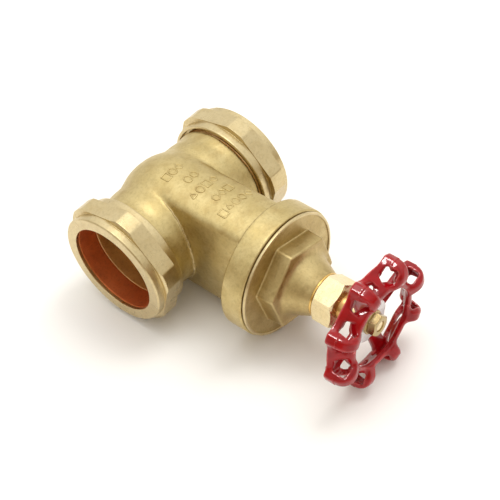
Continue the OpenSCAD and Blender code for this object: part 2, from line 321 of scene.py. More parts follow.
def noise(nodes, links, place, size_mm, detail=3.0, rough=0.55, stretch=(1, 1, 1)):
    """Noise with features of about the given size, as its value output."""
    mapping = nodes.new("ShaderNodeMapping")
    mapping.inputs["Scale"].default_value = stretch
    links.new(place, mapping.inputs["Vector"])
    texture = nodes.new("ShaderNodeTexNoise")
    texture.inputs["Scale"].default_value = 1 / (size_mm * MM)
    texture.inputs["Detail"].default_value = detail
    texture.inputs["Roughness"].default_value = rough
    links.new(mapping.outputs["Vector"], texture.inputs["Vector"])
    return texture.outputs["Fac"]


def spread(nodes, links, value, low, high, from_low=0.3, from_high=0.7):
    """The value, from the span that noise mostly fills, mapped to low..high."""
    node = nodes.new("ShaderNodeMapRange")
    node.inputs["From Min"].default_value = from_low
    node.inputs["From Max"].default_value = from_high
    node.inputs["To Min"].default_value = low
    node.inputs["To Max"].default_value = high
    links.new(value, node.inputs["Value"])
    return node.outputs["Result"]


def blend(nodes, links, share, first, second):
    """A colour between two, each a colour or another blend's output."""
    node = nodes.new("ShaderNodeMix")
    node.data_type = "RGBA"
    links.new(share, node.inputs["Factor"])
    for socket, colour in ((node.inputs[6], first), (node.inputs[7], second)):
        if isinstance(colour, tuple):
            socket.default_value = (*colour, 1)
        else:
            links.new(colour, socket)
    return node.outputs[2]


def bump(nodes, links, shader, layers):
    """Bumps from (height output, depth in millimetres) layers, chained."""
    last = None
    for height, depth in layers:
        node = nodes.new("ShaderNodeBump")
        node.inputs["Strength"].default_value = 1.0
        node.inputs["Distance"].default_value = depth * MM
        links.new(height, node.inputs["Height"])
        if last is not None:
            links.new(last, node.inputs["Normal"])
        last = node.outputs["Normal"]
    links.new(last, shader.inputs["Normal"])


DRIFT_MM, PATCH_MM, SPECK_MM, CLOUD_MM = 11.0, 9.0, 1.6, 6.0
SPECK_TONE, SPECK_GRAIN = 0.74, 0.8
ENAMEL_POOL_MM, ENAMEL_WAVE_MM, ENAMEL_PEEL_MM = 9.0, 7.0, 2.6


def metal(name, light, dark, gloss, grain=0.0, grain_mm=0.5, stain=None, metallic=1.0):
    """A metal: two tones that drift over the surface, roughness within gloss, grain depth in millimetres.

    stain is a third tone in scattered patches."""
    material, nodes, links, shader, place = node_material(name)
    shader.inputs["Metallic"].default_value = metallic
    drift = spread(nodes, links, noise(nodes, links, place, DRIFT_MM, 4.0, 0.6), 0, 1)
    colour = blend(nodes, links, drift, light, dark)
    if stain:
        patch = spread(nodes, links, noise(nodes, links, place, PATCH_MM, 5.0, 0.7), 0, 0.7, 0.50, 0.74)
        colour = blend(nodes, links, patch, colour, stain)
    speck = noise(nodes, links, place, SPECK_MM, 3.0, 0.7)
    darker = tuple(SPECK_TONE * c for c in dark)
    colour = blend(nodes, links, spread(nodes, links, speck, 0, 0.55, 0.48, 0.72), colour, darker)
    links.new(colour, shader.inputs["Base Color"])
    cloud = noise(nodes, links, place, CLOUD_MM, 3.0)
    links.new(spread(nodes, links, cloud, *gloss), shader.inputs["Roughness"])
    fine = noise(nodes, links, place, grain_mm, 2.0, 0.5)
    bump(nodes, links, shader, [(fine, grain), (speck, grain * SPECK_GRAIN)])
    return material


def enamel(name, light, dark, painted_edge_highlight):
    """A glossy coat over two tones, with a painted highlight of paler pink on the sharp edges."""
    material, nodes, links, shader, place = node_material(name)
    pool = spread(nodes, links, noise(nodes, links, place, ENAMEL_POOL_MM, 3.0), 0, 1)
    colour = blend(nodes, links, pool, light, dark)
    edge_highlight_mask = nodes.new("ShaderNodeNewGeometry").outputs["Pointiness"]
    # painted highlight: the sharp edges blend towards a pale pink, standing in for gloss lines along the
    # rims
    colour = blend(nodes, links, spread(nodes, links, edge_highlight_mask, 0, 0.45, 0.512, 0.55), colour, painted_edge_highlight)
    links.new(colour, shader.inputs["Base Color"])
    shader.inputs["Roughness"].default_value = 0.38
    shader.inputs["Specular IOR Level"].default_value = 0.04
    shader.inputs["Coat Weight"].default_value = 1.0
    shader.inputs["Coat Roughness"].default_value = 0.06
    shader.inputs["Coat IOR"].default_value = 1.36
    wave = noise(nodes, links, place, ENAMEL_WAVE_MM, 1.0)
    peel = noise(nodes, links, place, ENAMEL_PEEL_MM, 2.0, 0.45)
    bump(nodes, links, shader, [(wave, 0.12), (peel, 0.05)])
    return material


def fibrous(name, light, dark, weave_mm, depth):
    """A dull material of strands that run across Y."""
    material, nodes, links, shader, place = node_material(name)
    strands = noise(nodes, links, place, weave_mm, 4.0, 0.7, (1, 6, 1))
    shade = blend(nodes, links, spread(nodes, links, strands, 0, 1), light, dark)
    links.new(shade, shader.inputs["Base Color"])
    links.new(spread(nodes, links, strands, 0.7, 0.95), shader.inputs["Roughness"])
    bump(nodes, links, shader, [(strands, depth)])
    return material


CAST_BRASS = metal("cast_brass", (0.64, 0.52, 0.255), (0.54, 0.42, 0.18), (0.37, 0.47), 0.048, 0.55,
                   stain=(0.44, 0.31, 0.12))
# painted shade: a darker, more saturated copy of the cast brass, so the bonnet reads as shaded
BONNET_BRASS_SHADED = metal("bonnet_brass_painted_shade", (0.60, 0.475, 0.23), (0.48, 0.36, 0.155), (0.38, 0.48), 0.052,
                     0.6, stain=(0.34, 0.235, 0.09))
NUT_BRASS = metal("nut_brass", (0.68, 0.56, 0.32), (0.61, 0.49, 0.265), (0.26, 0.36), 0.026, 0.4,
                  stain=(0.54, 0.41, 0.19))
BRIGHT_BRASS = metal("bright_brass", (0.86, 0.73, 0.45), (0.78, 0.63, 0.34), (0.16, 0.26), 0.006, 0.5)
WHEEL_NUT_BRASS = metal("wheel_nut_brass", (0.50, 0.385, 0.19), (0.43, 0.315, 0.13), (0.22, 0.32), 0.01,
                        0.4)
GOLD_BRASS = metal("turned_brass", (0.80, 0.54, 0.18), (0.72, 0.45, 0.13), (0.18, 0.30), 0.006, 0.4)
# partly painted light: machined brass of the neck ends, its tone raised well above the other brass to lift
# the dim bore
BORE_BRASS_LIT = metal("bored_brass_painted_light", (0.90, 0.62, 0.29), (0.80, 0.52, 0.22), (0.36, 0.48), 0.015, 0.5)
FOLLOWER_BRASS = metal("follower_brass", (0.74, 0.47, 0.19), (0.62, 0.37, 0.14), (0.20, 0.32), 0.008, 0.4)
COPPER = metal("olive_copper", (0.78, 0.26, 0.095), (0.66, 0.20, 0.07), (0.44, 0.52), 0.008, 0.5)
ALUMINIUM = metal("disc_aluminium", (0.94, 0.94, 0.95), (0.80, 0.81, 0.83), (0.28, 0.42), 0.06, 1.2,
                  metallic=0.55)
STEEL = metal("washer_steel", (0.60, 0.60, 0.61), (0.48, 0.48, 0.50), (0.28, 0.44), 0.02, 0.4)
# the third colour is the painted highlight that enamel() lays on the sharp edges
RED_ENAMEL = enamel("red_enamel", (0.40, 0.001, 0.005), (0.24, 0.001, 0.003), (0.80, 0.16, 0.16))
FIBRE = fibrous("gasket_fibre", (0.36, 0.24, 0.12), (0.24, 0.15, 0.07), 0.8, 0.05)
PACKING = fibrous("packing_graphite", (0.09, 0.09, 0.095), (0.04, 0.04, 0.045), 1.2, 0.15)

# ---------------------------------------------------------------- making a piece


def piece(name, body, points, faces, material, stands_for, sharp=38.0):
    """A mesh in millimetres as a piece that rides on a body and stands for a CAD node."""
    mesh = bpy.data.meshes.new(name)
    mesh.from_pydata((np.asarray(points) * MM).tolist(), [], np.asarray(faces).tolist())
    form = bmesh.new()
    form.from_mesh(mesh)
    bmesh.ops.remove_doubles(form, verts=form.verts, dist=1e-6)
    bmesh.ops.recalc_face_normals(form, faces=form.faces)
    form.to_mesh(mesh)
    form.free()
    mesh.shade_smooth()
    mesh.set_sharp_from_angle(angle=math.radians(sharp))
    mesh.materials.append(material)
    made = bpy.data.objects.new(name, mesh)
    bpy.context.scene.collection.objects.link(made)
    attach(made, body)
    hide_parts(stands_for)
    return made


def joined(parts):
    """Several (points, faces) as one."""
    points, faces, start = [], [], 0
    for p, f in parts:
        points.append(p)
        faces.append(np.asarray(f) + start)
        start += len(p)
    return np.concatenate(points), np.concatenate(faces)


# ---------------------------------------------------------------- valve body

CHAMBER_HALF_W = 22.0
CHAMBER_SIDE_R = 96.0
NECK_R, NECK_WAIST, NECK_END = 31.2, 0.6, 35.6
WAIST_X, WAIST_W = 29.0, 4.0
RING_START = 64.25
WATERWAY_R, SOCKET_R, PIPE_STOP_X = 22.0, 27.1, 27.0
THREAD_R, RUN_PITCH = 30.6, 2.309
CAVITY_R, CAVITY_HALF_W = CHAMBER_R - 3.5, 13.5
RING_BORE_R = 33.05
SEAT_R, SEAT_BACK = 27.0, 4.0
GATE_HALF_T, GATE_SLOPE = 9.72, math.tan(math.radians(4))
END_PIECE_X, END_PIECE_R = 24.0, 29.6
CHAMBER_EDGE, NECK_EDGE, RING_EDGE = 2.0, 0.5, 0.8
NECK_FILLET, RING_FILLET = 1.6, 1.2
OVERLAP, WEDGE_GAP, SOCKET_GAP = 3.0, 0.5, 0.4
BODY_CELL, BODY_SKIN, NET_MARGIN = 0.9, 0.13, 1.2


def chamber_wall(x, y, z, radius):
    """A capsule about the stem axis, with its round end behind the flow axis."""
    return np.where(y < 0, np.hypot(x, z), np.sqrt(x * x + y * y + z * z)) - radius


def body_field(points):
    x, y, z = points.T
    d = -y
    across, about_run, about_stem = np.abs(x), np.hypot(y, z), np.hypot(x, z)
    side = np.hypot(across + CHAMBER_SIDE_R - CHAMBER_HALF_W, z) - CHAMBER_SIDE_R
    chamber = both(chamber_wall(x, y, z, CHAMBER_R), side, CHAMBER_EDGE)
    chamber = both(chamber, d - RING_START - OVERLAP)
    waist = NECK_WAIST * np.exp(-(((across - WAIST_X) / WAIST_W) ** 2))
    neck = both(about_run - NECK_R + waist, across - NECK_END, NECK_EDGE)
    ring = both(about_stem - RING_R, between(d, RING_START, RING_FRONT), RING_EDGE)
    whole = either(either(chamber, neck, NECK_FILLET), ring, RING_FILLET)
    hollow = both(chamber_wall(x, y, z, CAVITY_R), across - CAVITY_HALF_W, CHAMBER_EDGE)
    hollow = both(hollow, d - SKIRT_START - 1)
    hollow = either(hollow, both(about_stem - RING_BORE_R, SKIRT_START - d))
    seat = both(about_run - SEAT_R, between(across, SEAT_BACK, CAVITY_HALF_W + 1), 0.6)
    wedge = across - (GATE_HALF_T + d * GATE_SLOPE)
    way_r = SEAT_R + WEDGE_GAP
    wedge = both(wedge, either(about_run - way_r, both(np.abs(z) - way_r, -d)))
    seat = without(seat, wedge)
    whole = either(without(whole, hollow), both(seat, chamber + 2))
    counterbore = both(about_run - END_PIECE_R + SOCKET_GAP, END_PIECE_X + SOCKET_GAP - across)
    bore = either(about_run - WATERWAY_R, counterbore)
    return without(whole, bore)


def cast_texture(points, depth=0.09):
    """The uneven skin of a sand casting: broad lumps with finer ones on them."""
    return depth * lumps(points, 6.0, 3) + 0.45 * depth * lumps(points, 2.3, 5)


def make_body():
    reach = RING_R + NET_MARGIN
    low, high = (-reach, -RING_FRONT - NET_MARGIN, -reach), (reach, CHAMBER_R + NET_MARGIN, reach)
    points, faces = net(body_field, low, high, BODY_CELL)
    points = settle(points, lambda p: body_field(p) + cast_texture(p) + BODY_SKIN)
    piece("body_casting", "valve_body", points, faces, CAST_BRASS, "body", 60)


def make_body_end(side, name):
    """The machined end of a neck: pipe stop, socket, mouth for the olive and outside thread."""
    mouth_x, mouth_in, mouth_out = RUN_END - 5, SOCKET_R + 0.7, SOCKET_R + 3
    relief_r = THREAD_R - 0.9
    corners = [
        (WATERWAY_R, END_PIECE_X), (WATERWAY_R, PIPE_STOP_X, 0.2), (SOCKET_R, PIPE_STOP_X, 0.15),
        (SOCKET_R, mouth_x - 0.4), (mouth_in, mouth_x), (mouth_out, RUN_END, 0.1),
        (THREAD_R - 0.2, RUN_END, 0.1), (THREAD_R, RUN_END - 0.6), (THREAD_R, NECK_END + 0.6),
        (relief_r, NECK_END + 0.3), (relief_r, NECK_END - 1), (END_PIECE_R, NECK_END - 1.5),
        (END_PIECE_R, END_PIECE_X),
    ]
    outline = spaced(rounded(corners, 0.25), 0.28)

    def cut(radius, height, angle):
        threaded = (radius > THREAD_R - 0.3) & (height > NECK_END)
        return radius - np.where(threaded, thread(height, angle, RUN_PITCH, 0.75), 0), height

    points, faces = turned(outline, 240, cut)
    piece(name, "valve_body", on_run(points, side), faces, BORE_BRASS_LIT, "body", 30)


NEVER_ALONG = (0.3, 0.2, 0.93)


def swept(path, radius, columns=10, closed=False):
    """A tube along a path, with the radius at each of its points."""
    path = np.array(path)
    along = np.roll(path, -1, 0) - np.roll(path, 1, 0) if closed else np.gradient(path, axis=0)
    along /= np.linalg.norm(along, axis=1)[:, None]
    side = np.cross(along, NEVER_ALONG)
    side /= np.linalg.norm(side, axis=1)[:, None]
    up = np.cross(side, along)
    angle = np.arange(columns) * TURN / columns
    ring = np.cos(angle)[None, :, None] * side[:, None] + np.sin(angle)[None, :, None] * up[:, None]
    points = path[:, None] + np.asarray(radius)[:, None, None] * ring
    first = np.arange(len(path) * columns).reshape(-1, columns)
    second = np.roll(first, -1, 0)
    if not closed:
        first, second = first[:-1], second[:-1]
    quads = np.stack([first, second, np.roll(second, -1, 1), np.roll(first, -1, 1)], -1).reshape(-1, 4)
    return points.reshape(-1, 3), quads


MARK_L, MARK_W, STROKE_R, STROKE_SUNK = 5.2, 3.9, 0.5, 0.26
MARK_CORNERS = {"diamond": 4, "square": 4, "triangle": 3, "hexagon": 6, "ring": 24}
MARK_ROUNDING, MARK_STEP = 0.35, 0.35
# rows along X: the row's y, the first mark's x, the pitch and the marks
MARK_ROWS = [
    (-3.0, -6.0, 4.9, ["square", "ring", "diamond"]),
    (-14.0, -0.8, 4.9, ["ring", "hexagon"]),
    (-24.5, -8.0, 5.3, ["triangle", "ring", "square", "diamond"]),
    (-35.5, -2.4, 4.9, ["hexagon", "diamond", "square"]),
    (-46.0, -8.4, 5.0, ["square", "triangle", "ring", "hexagon", "diamond"]),
]


def mark_outline(kind, x, y):
    """The closed stroke of one mark, laid over the chamber's crown."""
    count = MARK_CORNERS[kind]
    start = 0.5 if kind == "square" else 0.0
    fill = math.sqrt(2) if kind == "square" else 1.0
    corners = []
    for k in range(count):
        angle = TURN / 4 + TURN * (k + start) / count
        corners.append((x + fill * MARK_W / 2 * math.cos(angle), y + fill * MARK_L / 2 * math.sin(angle)))
    flat = np.array(spaced(rounded(corners, MARK_ROUNDING, 2), MARK_STEP))
    height = np.sqrt(CHAMBER_R**2 - flat[:, 0] ** 2 - np.maximum(flat[:, 1], 0) ** 2)
    return np.column_stack([flat, height - STROKE_SUNK])


def make_cast_marks():
    """Plain outlined shapes in five rows across the chamber, where such castings carry their marks."""
    parts = []
    for y, start_x, pitch, kinds in MARK_ROWS:
        for k, kind in enumerate(kinds):
            path = mark_outline(kind, start_x + k * pitch, y)
            parts.append(swept(path, np.full(len(path), STROKE_R), closed=True))
    points, faces = joined(parts)
    piece("cast_marks", "valve_body", points, faces, CAST_BRASS, "body", 60)


def make_parting_flash():
    """The thin fin that the mould left where the left neck meets the chamber, with two burrs on it."""
    top, bottom, stand_off, fin_r, fade = 30.2, -21.0, 0.35, 0.42, 3
    z = np.linspace(top, bottom, 90)
    y = -np.sqrt((NECK_R + stand_off) ** 2 - z * z)
    x = -(np.sqrt(CHAMBER_SIDE_R**2 - z * z) - (CHAMBER_SIDE_R - CHAMBER_HALF_W)) - stand_off
    burrs = 0.5 * np.exp(-(((z + 7) / 1.3) ** 2)) + 0.5 * np.exp(-(((z + 19.5) / 1.5) ** 2))
    wobble = 0.12 * np.sin(z * 1.7) + 0.08 * np.sin(z * 0.63)
    taper = np.clip(np.minimum(top - z, z - bottom) / fade, 0.02, 1)
    points, faces = swept(np.stack([x + wobble, y, z], -1), (fin_r + burrs) * taper)
    piece("parting_flash", "valve_body", points, faces, NUT_BRASS, "body", 60)


# ---------------------------------------------------------------- compression ends

NUT_L, COLLAR_R, NUT_FLAT_R, NUT_CORNER_R = 20.1, 34.3, 34.8, 37.5
HEX_START, HEX_STOP, NUT_CORNER_AT = 5.0, 15.2, 47.0
NUT_THREAD_START, NUT_THREAD_END, NUT_CONE_START = 3.2, 13.4, 14.0
NUT_LIP, OLIVE_R, OLIVE_W, OLIVE_TAPER = 2.05, 29.3, 12.5, 3.6


def make_compression_nut(side, name, body, back_x):
    """A nut with a round collar at each end of its hexagon, starting at back_x along the flow axis."""
    tan_30 = math.tan(math.radians(30))
    back_cut, front_cut = (share * (NUT_CORNER_R - NUT_FLAT_R) for share in (0.1, 0.45))
    entry_r, lip_r, rim_cut = NECK_R + 1, SOCKET_R + 0.2, 0.7
    corners = [
        (entry_r, 0, 0.3), (COLLAR_R - 0.2, 0, 0.7), (COLLAR_R, HEX_START, 0.25),
        (NUT_CORNER_R - back_cut, HEX_START, 0.15), (NUT_CORNER_R, HEX_START + back_cut * tan_30, 0.2),
        (NUT_CORNER_R, HEX_STOP - front_cut * tan_30, 0.3), (NUT_CORNER_R - front_cut, HEX_STOP, 0.15),
        (COLLAR_R, HEX_STOP, 0.2), (COLLAR_R, NUT_L - rim_cut, 0.4), (COLLAR_R - rim_cut, NUT_L, 0.3),
        (lip_r, NUT_L, 0.35), (lip_r, NUT_L - NUT_LIP), (OLIVE_R + 0.4, NUT_CONE_START),
        (THREAD_R, NUT_THREAD_END), (THREAD_R, NUT_THREAD_START), (entry_r, NUT_THREAD_START, 0.2),
    ]
    outline = spaced(rounded(corners, 0.2, 3), 0.32)

    def cut(radius, height, angle):
        hexagon = flat_sides(angle, 6, NUT_FLAT_R, NUT_CORNER_AT) * np.ones_like(radius)
        outer = radius > COLLAR_R + 0.02
        return np.where(outer, np.maximum(COLLAR_R, np.minimum(radius, hexagon)), radius), height

    points, faces = turned(outline, 360, cut)
    points = on_run(points, side)
    points[:, 0] += side * back_x
    piece(name, body, points, faces, NUT_BRASS, name.replace("_shaped", ""), 25)


def make_olive(side, name, body, start_x):
    """A copper ring that tapers towards both ends. start_x is where it starts along the flow axis."""
    inner_r, end_r = SOCKET_R + 0.05, SOCKET_R + 0.55
    corners = [
        (inner_r, 0, 0.15), (end_r, 0, 0.15), (OLIVE_R, OLIVE_TAPER, 0.8),
        (OLIVE_R, OLIVE_W - OLIVE_TAPER, 0.8), (end_r, OLIVE_W, 0.15), (inner_r, OLIVE_W, 0.15),
    ]
    points, faces = turned(spaced(rounded(corners), 1.2), 192)
    points = on_run(points, side)
    points[:, 0] += side * start_x
    piece(name, body, points, faces, COPPER, name.replace("_shaped", ""), 30)


# ---------------------------------------------------------------- bonnet

FLANGE_FRONT, RIM_W, RECESS = 80.2, 1.4, 0.5
HEX_R, HEX_END, HEX_CORNER_AT = 26.7, 90.0, 45.3
CONE_R0, CONE_R1, NECK_FRONT = 18.8, 12.6, 104.6
SPIGOT_R, SPIGOT_BORE_R, GLAND_PITCH = 10.7, 9.0, 1.5
GASKET_FRONT, RIM_SKIRT = 79.2, 0.45
HEX_DRAFT, HEX_EDGE, HEX_FILLET, CONE_FILLET = 0.035, 1.0, 0.7, 2.6
CONE_EDGE, CONE_STOP = 0.4, NECK_FRONT - 0.8
FLANGE_HOLLOW_R, FLANGE_WALL, HEX_HOLLOW_R, HEX_WALL, PACKING_BORE_R = 29.5, 2.2, 18.0, 2.6, 9.2
BONNET_CELL, BONNET_SKIN, BONNET_MARGIN = 0.56, 0.05, 0.5


def bonnet_field(points):
    x, y, z = points.T
    d, about = -y, np.hypot(x, z)
    plate = both(about - (FLANGE_R - RIM_W + 0.3), between(d, GASKET_FRONT, FLANGE_FRONT - RECESS), 0.3)
    skirt = both(about - RING_BORE_R + 0.05, between(d, SKIRT_START, GASKET_FRONT + 0.3), 0.3)
    draft = HEX_DRAFT * (d - FLANGE_FRONT)
    flat_r = HEX_R * math.cos(math.radians(30))
    hexagon = between(d, FLANGE_FRONT - OVERLAP, HEX_END)
    for k in range(6):
        normal = math.radians(HEX_CORNER_AT + 30 + 60 * k)
        side = x * math.cos(normal) + z * math.sin(normal) - flat_r + draft
        hexagon = both(hexagon, side, HEX_EDGE)
    slope = (CONE_R0 - CONE_R1) / (CONE_STOP - HEX_END)
    cone = (about - CONE_R0 + (d - HEX_END) * slope) / math.hypot(1, slope)
    cone = both(cone, between(d, HEX_END - OVERLAP, CONE_STOP), CONE_EDGE)
    whole = either(either(plate, skirt), hexagon, HEX_FILLET)
    whole = either(whole, cone, CONE_FILLET)
    under_flange = both(about - FLANGE_HOLLOW_R, d - FLANGE_FRONT + FLANGE_WALL, 1.0)
    under_hexagon = both(about - HEX_HOLLOW_R, d - HEX_END + HEX_WALL, 1.0)
    hollow = either(either(under_flange, under_hexagon), about - PACKING_BORE_R)
    return without(whole, hollow)


def make_bonnet():
    """The bonnet's casting, the turned rim of its flange, and its neck with the gland nut's thread."""
    reach = FLANGE_R + BONNET_MARGIN
    low = (-reach, -NECK_FRONT - BONNET_MARGIN, -reach)
    high = (reach, -SKIRT_START + BONNET_MARGIN, reach)
    points, faces = net(bonnet_field, low, high, BONNET_CELL)
    points = settle(points, lambda p: bonnet_field(p) + cast_texture(p, 0.08) + BONNET_SKIN)
    piece("bonnet_casting", "valve_body", points, faces, BONNET_BRASS_SHADED, "bonnet", 60)
    rim_in, rim_back = FLANGE_R - RIM_W, GASKET_FRONT - RIM_SKIRT
    rim = [
        (rim_in, rim_back), (FLANGE_R, rim_back, 0.15), (FLANGE_R, FLANGE_FRONT, 0.35),
        (rim_in, FLANGE_FRONT, 0.3),
    ]
    points, faces = turned(rounded(rim, 0.2), 256)
    piece("bonnet_rim", "valve_body", on_stem(points), faces, NUT_BRASS, "bonnet", 30)
    neck_r, neck_back = CONE_R1 + 0.1, NECK_FRONT - OVERLAP
    neck = [
        (SPIGOT_BORE_R, neck_back), (CONE_R1 - 0.3, neck_back), (neck_r, NECK_FRONT - 0.9, 0.2),
        (neck_r, NECK_FRONT, 0.3), (SPIGOT_R, NECK_FRONT, 0.1), (SPIGOT_R, SPIGOT_END, 0.4),
        (SPIGOT_BORE_R, SPIGOT_END, 0.3),
    ]

    def cut(radius, height, angle):
        threaded = (radius > SPIGOT_R - 0.3) & (height > NECK_FRONT + 1)
        return radius - np.where(threaded, thread(height, angle, GLAND_PITCH, 0.5), 0), height

    points, faces = turned(spaced(rounded(neck, 0.2), 0.25), 160, cut)
    piece("bonnet_neck", "valve_body", on_stem(points), faces, GOLD_BRASS, "bonnet", 30)


# ---------------------------------------------------------------- gland and stem

GLAND_R, GLAND_CORNER_AT = 14.24, 21.9
SHANK_R, FOLLOWER_NOSE_R = 5.5, 7.4
SQUARE_HALF, SQUARE_START, HUB_FRONT = 4.0, HUB_BACK, DISC_BACK
LIFT_THREAD_R, LIFT_PITCH, LIFT_GROOVE = 6.5, 3.6, 1.2
COLLAR_BACK, COLLAR_L, STEM_COLLAR_R = 91.15, 3.8, 10.5
STUD_R, STUD_PITCH = 3.0, 1.0


def hex_nut(inner_r, corner_r, back, front, corner_at, back_chamfer, front_chamfer, columns=360):
    """A hexagon nut whose corners are turned off by a cone at each end.

    A chamfer of 1 reaches in to the middle of the flats."""
    flat_r = corner_r * math.cos(math.radians(30))
    drop = corner_r - flat_r
    back_cut, front_cut = drop * back_chamfer, drop * front_chamfer
    tan_30 = math.tan(math.radians(30))
    corners = [
        (inner_r, back, 0.2), (corner_r - back_cut, back, 0.15), (corner_r, back + back_cut * tan_30, 0.2),
        (corner_r, front - front_cut * tan_30, 0.3), (corner_r - front_cut, front, 0.25),
        (inner_r, front, 0.3),
    ]

    def cut(radius, height, angle):
        hexagon = flat_sides(angle, 6, flat_r, corner_at) * np.ones_like(radius)
        return np.minimum(radius, hexagon), height

    return turned(spaced(rounded(corners, 0.2, 3), 0.28), columns, cut)


def make_gland():
    """The gland nut, and the stepped follower that shows through it."""
    points, faces = hex_nut(FOLLOWER_NOSE_R + 0.1, GLAND_R, GLAND_BACK, GLAND_FRONT, GLAND_CORNER_AT, 1, 1)
    piece("gland_nut_shaped", "gland_cap", on_stem(points), faces, BRIGHT_BRASS, "gland_nut",
          25)
    flange_back, flange_front, flange_r = SPIGOT_END + 0.4, SPIGOT_END + 1.8, SPIGOT_R - 0.3
    bore_r, push_r = SHANK_R + 0.1, SPIGOT_BORE_R - 0.1
    sleeve = [
        (bore_r, FOLLOWER_BACK), (push_r, FOLLOWER_BACK), (push_r, flange_back), (flange_r, flange_back),
        (flange_r, flange_front), (FOLLOWER_NOSE_R, flange_front), (FOLLOWER_NOSE_R, FOLLOWER_FRONT, 0.7),
        (bore_r, FOLLOWER_FRONT, 0.3),
    ]
    points, faces = turned(rounded(sleeve, 0.15), 144)
    piece("gland_follower_turned", "gland_sleeve", on_stem(points), faces, FOLLOWER_BRASS,
          "gland_follower", 30)


def make_stem():
    """The stem: lifting thread, collar, shank, the square that turns the wheel, and the stud."""
    collar_front, square_front, square_r = COLLAR_BACK + COLLAR_L, HUB_FRONT + 0.4, SHANK_R + 0.1
    corners = [
        (0, STEM_TIP), (LIFT_THREAD_R - 1, STEM_TIP, 0.3), (LIFT_THREAD_R, STEM_TIP + 1, 0.3),
        (LIFT_THREAD_R, COLLAR_BACK, 0.2), (STEM_COLLAR_R, COLLAR_BACK, 0.3),
        (STEM_COLLAR_R, collar_front, 0.3), (SHANK_R, collar_front, 0.2), (SHANK_R, SQUARE_START, 0.2),
        (square_r, SQUARE_START + 0.1), (square_r, square_front, 0.3), (STUD_R, square_front, 0.1),
        (STUD_R, STUD_END - 0.1, 0.6), (0, STUD_END),
    ]

    def cut(radius, height, angle):
        square = (radius > STUD_R + 0.1) & (height > SQUARE_START + 0.05) & (height < square_front + 0.1)
        radius = np.where(square, np.minimum(radius, flat_sides(angle, 4, SQUARE_HALF, 45.0)), radius)
        lifting = (radius > LIFT_THREAD_R - 0.2) & (height < COLLAR_BACK - 4) & (height > STEM_TIP + 1)
        groove = np.clip(2 * thread(height, angle, LIFT_PITCH, 1.0) - 0.5, 0, 1) * LIFT_GROOVE
        radius = radius - np.where(lifting, groove, 0)
        stud = (np.abs(radius - STUD_R) < 0.02) & (height > HUB_FRONT + 1)
        return radius - np.where(stud, thread(height, angle, STUD_PITCH, 0.5), 0), height

    outline = spaced(rounded(corners, 0.2, closed=False), 0.4, closed=False)
    points, faces = turned(outline, 96, cut, closed=False)
    piece("stem_turned", "spindle", on_stem(points), faces, BRIGHT_BRASS, "stem", 30)


# ---------------------------------------------------------------- handwheel

LOBES, LOBE_AT, LOBE_TIP_W = 8, 16.5, 5.2
WHEEL_R, VALLEY_R, MOUTH_R, WHEEL_BACK = 38.0, 34.0, 22.6, 131.0
LOBE_MID_R, LOBE_MID, LOBE_R = 29.8, 137.4, 7.8
RIM_FRONT, WALL = 141.8, 3.1
FLANK_IN, FLANK_ACROSS = 0.50, 0.866
SPOKE_W, SPOKE_BACK, SPOKE_FRONT, HUB_R = 8.6, 129.8, 133.2, 11.5
WINDOW_R, WINDOW_D, WINDOW_W, WINDOW_H, WINDOW_REACH = 29.9, 138.1, 7.6, 7.6, 8.8
LOBE_EDGE, BAND_EDGE, LOBE_FILLET, LIP_W = 1.1, 1.2, 3.2, 3.0
HOLLOW_EDGE, LIP_EDGE, WINDOW_CORNER, WINDOW_DEEP_EDGE, WINDOW_EDGE = 0.7, 0.9, 2.2, 1.5, 1.3
SPOKE_END_R, SPOKE_END_EDGE, SPOKE_EDGE, HUB_EDGE, HUB_FILLET, SPOKE_FILLET = 34.4, 0.8, 1.4, 0.8, 2.2, 1.4
WHEEL_CELL, WHEEL_SKIN, WHEEL_MARGIN = 0.5, 0.03, 1


def rim_outside(along, across, about, d):
    """The rim without its hollow, left open towards the back.

    along and across are measured from a lobe's middle line, about from the stem axis."""
    out = along - LOBE_MID_R
    bow = np.where(d > LOBE_MID, np.hypot(out, d - LOBE_MID) - LOBE_R, np.abs(out) - LOBE_R - 0.4)
    flank = FLANK_IN * bow + FLANK_ACROSS * (across - LOBE_TIP_W / 2)
    lobe = both(bow, flank, LOBE_EDGE)
    rise, run = RIM_FRONT - WHEEL_BACK, VALLEY_R - MOUTH_R - LIP_W
    length = math.hypot(rise, run)
    band = ((about - VALLEY_R) * rise + (d - WHEEL_BACK) * run) / length
    band = both(band, d - RIM_FRONT, BAND_EDGE)
    return either(lobe, band, LOBE_FILLET)


def wheel_field(points):
    x, y, z = points.T
    d, about = -y, np.hypot(x, z)
    step = TURN / LOBES
    angle = np.arctan2(z, x) - math.radians(LOBE_AT)
    fold = (angle + step / 2) % step - step / 2
    along, across = about * np.cos(fold), np.abs(about * np.sin(fold))
    solid = rim_outside(along, across, about, d)
    shell = both(both(solid, -(solid + WALL), HOLLOW_EDGE), WHEEL_BACK - d, LIP_EDGE)
    shell = without(shell, about - MOUTH_R, LIP_EDGE)
    window = both(
        np.abs(along - WINDOW_R) - WINDOW_W / 2, np.abs(d - WINDOW_D) - WINDOW_H / 2, WINDOW_CORNER
    )
    shell = without(shell, both(window, across - WINDOW_REACH, WINDOW_DEEP_EDGE), WINDOW_EDGE)
    quarter = TURN / 4
    spoke_fold = (angle + quarter / 2) % quarter - quarter / 2
    spoke = np.abs(about * np.sin(spoke_fold)) - SPOKE_W / 2
    spoke = both(spoke, about - SPOKE_END_R, SPOKE_END_EDGE)
    spoke = both(spoke, between(d, SPOKE_BACK, SPOKE_FRONT), SPOKE_EDGE)
    hub = both(about - HUB_R, between(d, HUB_BACK, HUB_FRONT), HUB_EDGE)
    whole = either(shell, either(spoke, hub, HUB_FILLET), SPOKE_FILLET)
    return without(whole, np.maximum(np.abs(x), np.abs(z)) - SQUARE_HALF - 0.05)


